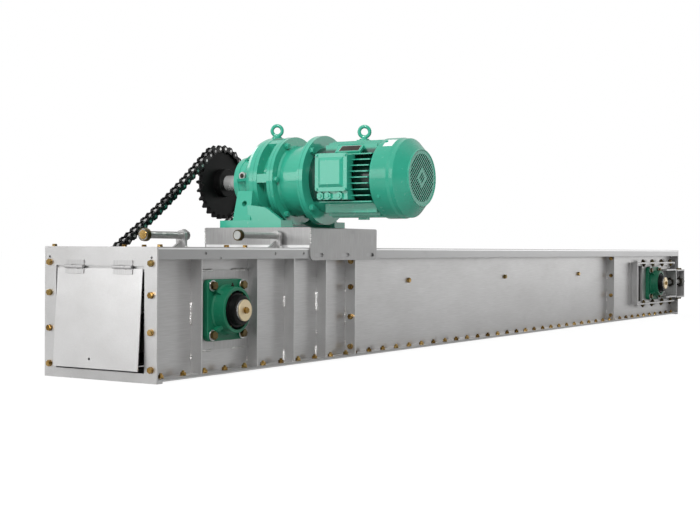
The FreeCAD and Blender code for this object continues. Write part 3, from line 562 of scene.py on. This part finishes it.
RING_BOLT = fastener("ring bolt", 19.0, 9.0, 12.0, 2.5)
COVER_SCREW = fastener("cover screw", 8.0, 3.5, 6.5, 1.2)
RING_R, FAN_COVER_R, LID_X = 138.0, 136.5, 474.0
spots = [(on_circle(RING_R, -26.5, 60 * k), NEAR) for k in range(6)]
spots += [(on_circle(RING_R, -150.0, 45 + 90 * k), NEAR) for k in range(4)]
spots += [(on_circle(RING_R, 77.0, 60 * k), FAR) for k in range(6)]
row("ring_bolts", RING_BOLT, spots, DRIVE_GREEN)
spots = [((LID_X, y, z), HEADWARD) for y in (-323.5, -211.5) for z in (579.0, 693.0)]
for angle in (28.6, 118.6, 208.6, 298.6):
    a = math.radians(angle)
    spots.append((on_circle(FAN_COVER_R, -430.0, angle), (math.cos(a), 0, math.sin(a))))
row("cover_screws", COVER_SCREW, spots, DRIVE_GREEN)
PLUG, PLUG_SOCKET_SHADE = disc("plug", 14.0, 5.0, 24), disc("plug hole", 8.5, 1.2, 12)
PLUG_X, PLUG_Y, PLUG_Z = AXIS_X - 86.5, 150.0, 638.0
row("plug_rim", PLUG, [((PLUG_X, PLUG_Y, PLUG_Z), HEADWARD)], DULL)
# Painted shade: a black disc on the plug's face stands for the dark of its hexagon socket.
row("plug_socket_shade", PLUG_SOCKET_SHADE, [((PLUG_X - 4.9, PLUG_Y, PLUG_Z), HEADWARD)], BLACKED)

# %% [markdown]
# ## Stop strip behind the flap
# A strip of sheet is welded behind the top of the inspection opening. The closed flap rests on it, and
# it keeps dust off the hinges. It is one box with its edges bevelled.

# %% Stop strip
def add_box(bm, size, centre=(0, 0, 0)):
    made = bmesh.ops.create_cube(bm, size=1.0)["verts"]
    bmesh.ops.scale(bm, vec=scaled(size, MM), verts=made)
    bmesh.ops.translate(bm, vec=scaled(centre, MM), verts=made)


bm = bmesh.new()
add_box(bm, (3, 350, 30), (-344.3, 0, 326))
bmesh.ops.bevel(bm, geom=list(bm.edges), offset=0.6 * MM, segments=1, affect="EDGES", profile=0.5,
                material=-1)
piece("stop_strip", bm, SHEET, "housing")

# %% [markdown]
# ## Strips under the saddle
# The saddle's head and tail ends stop a little above the cover, and a thin packing strip closes the
# gap under each. A strip is one flat box across the trough.

# %% Packing strips
bm = bmesh.new()
for x in (425.5, 854.5):
    add_box(bm, (5, 434, 9), (x, 0, 387.5))
piece("packing_strips", bm, EDGE, "housing")

# %% [markdown]
# ## Fan behind the grille
# The slots of the grille look black, because a dark fan runs right behind them. A plain disc stands
# for the fan: it keeps the eye from looking into the empty cover.

# %% Fan disc
FAN = disc("fan", 88.0, 3.0, 40)
row("cooling_fan", FAN, [((AXIS_X, -520.0, AXIS_Z), NEAR)], RUBBER)

# %% [markdown]
# ## Label on the fan cover
# A small pale label is stuck on the cover, and it stays blank. An edge along the motor is spun a
# few degrees round the motor's axis, so the label follows the curve, and then gets its thickness.

# %% A blank label
bm = bmesh.new()
start = [bm.verts.new(scaled(on_circle(FAN_COVER_R + 0.1, y, 131.0), MM)) for y in (-428.0, -464.0)]
bmesh.ops.spin(bm, geom=start + [bm.edges.new(start)], cent=(AXIS_X * MM, 0, AXIS_Z * MM),
               axis=(0, 1, 0), angle=math.radians(19.0), steps=8)
bmesh.ops.solidify(bm, geom=list(bm.faces), thickness=0.4 * MM)
PAPER = plated("white label", shades((0.70, 0.71, 0.72), (0.80, 0.81, 0.81)), 0.40, 0.0)
piece("blank_label", bm, PAPER, "housing", 0)

# %% [markdown]
# ## Nameplate
# The motor carries a small black plate with a fine bright border on the sloping pad. It is a flat box,
# turned to the slope of the pad. Insetting its top face gives the border, and the plate stays blank.

# %% A blank plate
def plate_on_pad(name, width, y0, y1, radius, tilt, thick=1.2, border=1.3, sink=0.3):
    bm = bmesh.new()
    add_box(bm, (width, y1 - y0, thick))
    top = max(bm.faces, key=lambda f: f.calc_center_median().z)
    bmesh.ops.inset_region(bm, faces=[top], thickness=border * MM, depth=-sink * MM)
    inner = max((f for f in bm.faces if f.normal.z > 0.9), key=lambda f: f.calc_area())
    for face in bm.faces:
        face.material_index = 1 if face is not inner else 0
    spot = Matrix.Translation((AXIS_X * MM, (y0 + y1) / 2 * MM, AXIS_Z * MM))
    turn = Matrix.Rotation(math.radians(-tilt), 4, "Y")
    lift = Matrix.Translation((0, 0, (radius + thick / 2) * MM))
    bmesh.ops.transform(bm, matrix=spot @ turn @ lift, verts=bm.verts)
    made = piece(name, bm, BLACKED, "housing", 0)
    made.data.materials.append(BRIGHT)


plate_on_pad("motor_nameplate", 30.0, -336.0, -258.0, 130.0, 39.0)

# %% [markdown]
# ## Roller chain, where its pins are
# The chain leaves the drive sprocket near the top, hangs to the driven one, and comes back slack
# below. On a sprocket the pins are a pitch apart along the pitch circle. Between the sprockets a loose
# chain hangs in a shallow curve, close enough to a parabola whose sag follows from the length left
# over. The pins are then spaced evenly along it.

# %% Pin centres round the loop
PITCH, TEETH, CHAIN_Y = 31.75, 25, 316.0
PITCH_R = PITCH / 2 / math.sin(math.pi / TEETH)
STEPS = 2000


def wrap(x, z, first, turn, count):
    """Pins round a sprocket, from the angle first, one tooth apart."""
    angles = [math.radians(first + turn * k * 360 / TEETH) for k in range(count)]
    return [Vector((x + PITCH_R * math.cos(t), CHAIN_Y, z + PITCH_R * math.sin(t))) for t in angles]


def hang(a, b, count):
    """Pins of a strand of count links from a to b, without b."""
    span = b - a
    sag = span.length * math.sqrt(3 / 8 * (count * PITCH / span.length - 1))
    drop = Vector((span.z, 0, -span.x)).normalized() * (4 * sag if span.x > 0 else -4 * sag)
    curve = [a + span * u + drop * (u * (1 - u)) for u in (k / STEPS for k in range(STEPS + 1))]
    run = [0.0]
    for p, q in zip(curve, curve[1:]):
        run.append(run[-1] + (q - p).length)
    picks, k = [], 0
    for i in range(count):
        while run[k] < run[-1] * i / count:
            k += 1
        picks.append(curve[k])
    return picks


drive_pins = wrap(AXIS_X, AXIS_Z, 130.0, -1, 12)
driven_pins = wrap(0.0, SHAFT_Z, 114.7, 1, 13)
chain_pins = (drive_pins[:-1] + hang(drive_pins[-1], driven_pins[-1], 28) + driven_pins[:0:-1]
              + hang(driven_pins[0], drive_pins[0], 23))
print("chain pins:", len(chain_pins), "links, pitch circle radius", round(PITCH_R, 1))

# %% [markdown]
# ## Roller chain, its links
# A side plate is two round ends and a waist. It starts as a disc: its right half moves one pitch away,
# a cut across the middle adds two vertices on each face, and those are pinched in. Two such plates and
# two rollers make an inner link, two thinner plates and two riveted pins an outer one. The links
# alternate from pin to pin. The plates are black with oil, but running keeps the rollers bright.

# %% Link patterns
ACROSS = Matrix.Rotation(math.radians(90), 4, "X")


def side_plate(bm, y, thick, radius, waist=0.52):
    half_step = Matrix.Rotation(math.pi / 16, 4, "Z")
    made = bmesh.ops.create_cone(bm, cap_ends=True, segments=16, radius1=radius * MM,
                                 radius2=radius * MM, depth=thick * MM, matrix=ACROSS @ half_step)
    verts = made["verts"]
    bmesh.ops.translate(bm, vec=(PITCH * MM, 0, 0), verts=[v for v in verts if v.co.x > 0])
    own = set(verts)
    geometry = verts + [part for part in (*bm.edges, *bm.faces) if part.verts[0] in own]
    cut = bmesh.ops.bisect_plane(bm, geom=geometry, plane_co=(PITCH / 2 * MM, 0, 0), plane_no=(1, 0, 0))
    middle = [g for g in cut["geom_cut"] if isinstance(g, bmesh.types.BMVert)]
    bmesh.ops.scale(bm, vec=(1, 1, waist), verts=middle)
    bmesh.ops.translate(bm, vec=(0, y * MM, 0), verts=verts + middle)


def cross_pin(bm, x, radius, half, segments):
    spot = Matrix.Translation((x * MM, 0, 0)) @ ACROSS
    made = bmesh.ops.create_cone(bm, cap_ends=True, segments=segments, radius1=radius * MM,
                                 radius2=radius * MM, depth=2 * half * MM, matrix=spot)
    for face in {f for v in made["verts"] for f in v.link_faces}:
        face.material_index = 1


def link_pattern(name, offset, thick, plate_r, pin_r, pin_half, segments):
    bm = bmesh.new()
    for y in (-offset, offset):
        side_plate(bm, y, thick, plate_r)
    for x in (0.0, PITCH):
        cross_pin(bm, x, pin_r, pin_half, segments)
    return to_mesh(bm, name)


INNER = link_pattern("inner link", 11.6, 4.0, 14.6, 8.7, 9.5, 14)
OUTER = link_pattern("outer link", 15.85, 3.6, 13.0, 5.2, 19.0, 10)
bm = bmesh.new()
for k, here in enumerate(chain_pins):
    there = chain_pins[(k + 1) % len(chain_pins)]
    turn = Matrix.Rotation(-math.atan2(there.z - here.z, there.x - here.x), 4, "Y")
    add_copy(bm, OUTER if k % 2 else INNER, Matrix.Translation(here * MM) @ turn)
chain = piece("chain_links", bm, OILED, "housing", 40.0)
chain.data.materials.append(ROLLER)
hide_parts("roller_chain")

# %% [markdown]
# ## Weld beads
# Ribs and joint plates are welded to the wall in short stitches, the bearing plates along their top
# and bottom, and the saddle and the jack lugs by tacks. A bead is a row of overlapping lumps, each a
# little different in size, which is what the pulses of a welder leave.

# %% Stitch welds
def bead(name, length, radius):
    """A run of weld along Z, standing on z = 0."""
    bm = bmesh.new()
    count = max(2, round(length / (radius * 1.05)))
    for k in range(count):
        size = radius * (0.70 + 0.55 * abs(math.sin(12.9 * (k + length))))
        spot = Matrix.Translation((0, 0, length * k / (count - 1) * MM))
        bmesh.ops.create_uvsphere(bm, u_segments=8, v_segments=5, radius=size * MM, matrix=spot)
    return to_mesh(bm, name)


LONG, SHORT, SPOT = bead("long bead", 58.0, 3.9), bead("short bead", 30.0, 3.4), bead("tack", 8.0, 3.8)
JOINT_WELDS = (268, SPOT), (230, SPOT), (140, SHORT), (112, SPOT), (50, SPOT)
RIB_WELDS = {-142.0: ((156, LONG), (52, SPOT)), 139.0: ((160, LONG), (28, SPOT)),
             344.0: ((190, SHORT), (14, SHORT)), 538.0: ((170, LONG), (90, SPOT), (16, SHORT)),
             727.5: JOINT_WELDS, 3377.5: JOINT_WELDS}
WALL_Y, PLATE_X, PLATE_Y, PLATE_ENDS = 173.5, (-110.0, 55.0), 175.0, (71.0, 313.0)
SADDLE_X, SADDLE_Y, SADDLE_Z, TACK_STEP = 424.0, 222.0, 400.0, 13.0
runs = {LONG: [], SHORT: [], SPOT: []}
for s in SIDES:
    for x, welds in RIB_WELDS.items():
        half = 5.5 if welds is JOINT_WELDS else 4.0
        for z, pattern in welds:
            runs[pattern] += [((x - half, s * WALL_Y, z), UP), ((x + half, s * WALL_Y, z), UP)]
    for x in PLATE_X:
        runs[LONG] += [((x, s * PLATE_Y, z), TAILWARD) for z in PLATE_ENDS]
    runs[SPOT] += [((SADDLE_X, s * SADDLE_Y, SADDLE_Z + TACK_STEP * k), UP) for k in range(4)]
for x, y in ((402.0, -94.5), (211.0, 157.5)):
    runs[SPOT] += [((x, y + side_y, COVER_TOP + 1.0), TAILWARD) for side_y in (-20.0, 20.0)]
for name, pattern in (("long_welds", LONG), ("short_welds", SHORT), ("tack_welds", SPOT)):
    row(name, pattern, runs[pattern], WELD, smooth=60.0)

# %% [markdown]
# ## Take-up and jack bolts
# The guide frames are clamped by studs through both rails, with a nut above and below each rail, and
# each end bracket is bolted on by its two arms. The heads of the two jack bolts are round: a plated
# collar with a turned face in front of it.

# %% Studs, nuts and collars
NUT_M14 = fastener("guide nut", 19.0, 9.0, 12.0, 2.0, 6.0, 6.0)
STUD_X, OUTER_Y, INNER_Y = (3890.0, 4050.0, 4220.0, 4385.0), 197.0, 202.0
UPPER_RAIL, LOWER_RAIL = (304.0, 312.0), (74.0, 82.0)
studs = []
for s in SIDES:
    for x in STUD_X:
        studs += [((x, s * OUTER_Y, UPPER_RAIL[1]), UP), ((x, s * INNER_Y, UPPER_RAIL[0]), DOWN)]
        studs += [((x, s * INNER_Y, LOWER_RAIL[1]), UP), ((x, s * OUTER_Y, LOWER_RAIL[0]), DOWN)]
row("guide_nuts", NUT_M14, studs, OLIVE)
JACK_Z, JACK_NEAR_Y, JACK_FAR_Y = 422.0, -94.5, 157.5
COLLAR_A, COLLAR_B = disc("near collar", 18.2, 14.0, 28), disc("far collar", 21.5, 16.0, 28)
row("jack_collars", COLLAR_A, [((201.5, JACK_NEAR_Y, JACK_Z), HEADWARD)], OLIVE)
row("jack_collar_far", COLLAR_B, [((36.0, JACK_FAR_Y, JACK_Z), HEADWARD)], OLIVE)
FACE_A, FACE_B = disc("near jack face", 14.0, 2.0, 28), disc("far jack face", 15.0, 1.5, 28)
row("jack_face", FACE_A, [((187.5, JACK_NEAR_Y, JACK_Z), HEADWARD)], DULL)
row("jack_face_far", FACE_B, [((20.0, JACK_FAR_Y, JACK_Z), HEADWARD)], GOLD)
BRACKET_BOLT = fastener("bracket bolt", 17.0, 7.0, 11.0, 2.0)
BRACKET_X, BRACKET_Y = (4470.0, 4430.0), 232.0
bracket_spots = [((x, s * BRACKET_Y, z), towards) for x in BRACKET_X for s in SIDES
                 for z, towards in ((266.0, UP), (98.0, DOWN))]
row("bracket_bolts", BRACKET_BOLT, bracket_spots, OLIVE)

# %% [markdown]
# ## Camera
# The camera stands in front of the head on the near side, at the height of the cover, with a lens of
# about 65 mm. Its three angles are the way it looks along the trough, its tilt and its roll, and they
# are turned into the sideways, upward and forward directions of the picture.

# %% Place the camera
YAW, TILT, ROLL = (math.radians(a) for a in (31.633, -0.643, 0.349))
ahead = Vector((math.cos(YAW) * math.cos(TILT), math.sin(YAW) * math.cos(TILT), math.sin(TILT)))
side = Vector((math.sin(YAW), -math.cos(YAW), 0.0))
head = side.cross(ahead)
side, head = side * math.cos(ROLL) + head * math.sin(ROLL), head * math.cos(ROLL) - side * math.sin(ROLL)
lens = bpy.data.cameras.new("camera")
lens.lens, lens.sensor_width, lens.clip_end = 64.853, 36.0, 60.0
camera = bpy.data.objects.new("camera", lens)
camera.matrix_world = Matrix((side, head, -ahead)).transposed().to_4x4()
camera.location = Vector((-3085.9, -2538.4, 381.7)) * MM
bpy.context.scene.collection.objects.link(camera)
bpy.context.scene.camera = camera
print("camera at", [round(c, 2) for c in camera.location], "m")

# %% [markdown]
# ## Floor
# The floor is plain grey, and it shows white because the camera sees most of it glow. It doesn't glow
# below the outlet, which the camera looks through past the open flap. From below it can be seen
# through, so the underside isn't hidden.

# %% A pale floor
FLOOR_Z, GLOW_SHARE = -0.0052, 0.9
studio = Finish("studio floor")
seen = studio.node("ShaderNodeLightPath", out="Is Camera Ray")
matt = studio.node("ShaderNodeBsdfDiffuse", inputs={"Color": (0.60, 0.60, 0.60)})
floor_x, floor_y = studio.along("X"), studio.along("Y")
open_floor = studio.band((floor_x * floor_x + floor_y * floor_y) ** 0.5, 0.17, 0.20)
glow = studio.node("ShaderNodeEmission", inputs={"Color": (1.0, 1.0, 1.0), "Strength": 1.06})
top = studio.node("ShaderNodeMixShader", inputs={0: seen * open_floor * GLOW_SHARE, 1: matt, 2: glow})
from_below = studio.node("ShaderNodeNewGeometry", out="Backfacing")
clear = studio.node("ShaderNodeBsdfTransparent")
floor_finish = studio.end(studio.node("ShaderNodeMixShader", inputs={0: from_below, 1: top, 2: clear}))
bm = bmesh.new()
bmesh.ops.create_grid(bm, x_segments=1, y_segments=1, size=40.0,
                      matrix=Matrix.Translation((2.0, 0, FLOOR_Z)))
floor_mesh = to_mesh(bm, "floor")
floor_mesh.materials.append(floor_finish)
floor = bpy.data.objects.new("floor", floor_mesh)
bpy.context.scene.collection.objects.link(floor)
print("floor at", FLOOR_Z, "m, just under the bottom plate")

# %% [markdown]
# ## Sky
# The camera sees a white sky, but the steel is lit by a darker one: brighter above than at the
# horizon, and dim in front, where a bright room would wash the walls out. That difference gives the
# broad highlights that run down the sheet.

# %% A sky with two faces
sky = Finish("studio", bpy.data.worlds, "Generated")
seen = sky.node("ShaderNodeLightPath", out="Is Camera Ray")
rise = sky.band(sky.along("Z"), 0.0, 0.7, 0.48, 0.95)
front = sky.band(sky.along("Y"), -0.42, -0.78, 1.0, 0.12)
strength = seen + (1.0 - seen) * (rise * front)
background = sky.node("ShaderNodeBackground", inputs={0: (1.0, 1.0, 1.0), 1: strength})
bpy.context.scene.world = sky.end(background, "ShaderNodeOutputWorld")
print("sky:", bpy.context.scene.world.name)

# %% [markdown]
# ## Lamps
# Four soft lamps shape the steel: a key lamp high in front of the head, one on the left of it that
# lights the end plate, a long one past the tail that runs down the near wall, and one behind for the
# far side. They are large, so that no highlight has a hard edge.

# %% Four soft lamps
def lamp(name, spot, aim, size, watts):
    light = bpy.data.lights.new(name, "AREA")
    light.shape, light.size, light.size_y, light.energy = "RECTANGLE", size[0], size[1], watts
    obj = bpy.data.objects.new(name, light)
    obj.location = spot
    obj.rotation_euler = (Vector(aim) - Vector(spot)).to_track_quat("-Z", "Y").to_euler()
    bpy.context.scene.collection.objects.link(obj)
    print(name, "lamp", watts, "W")


lamp("key", (-3.3, -2.1, 3.3), (0.4, 0.0, 0.4), (1.4, 0.9), 165.0)
lamp("left", (-4.2, 2.3, 1.6), (-0.3, 0.0, 0.3), (2.2, 2.2), 50.0)
lamp("tail", (8.0, -3.0, 1.6), (2.0, 0.0, 0.2), (5.0, 3.0), 58.0)
lamp("back", (2.0, 5.0, 3.0), (1.0, 0.0, 0.3), (4.0, 2.0), 60.0)
bpy.context.scene.view_settings.view_transform = "Standard"

# %% [markdown]
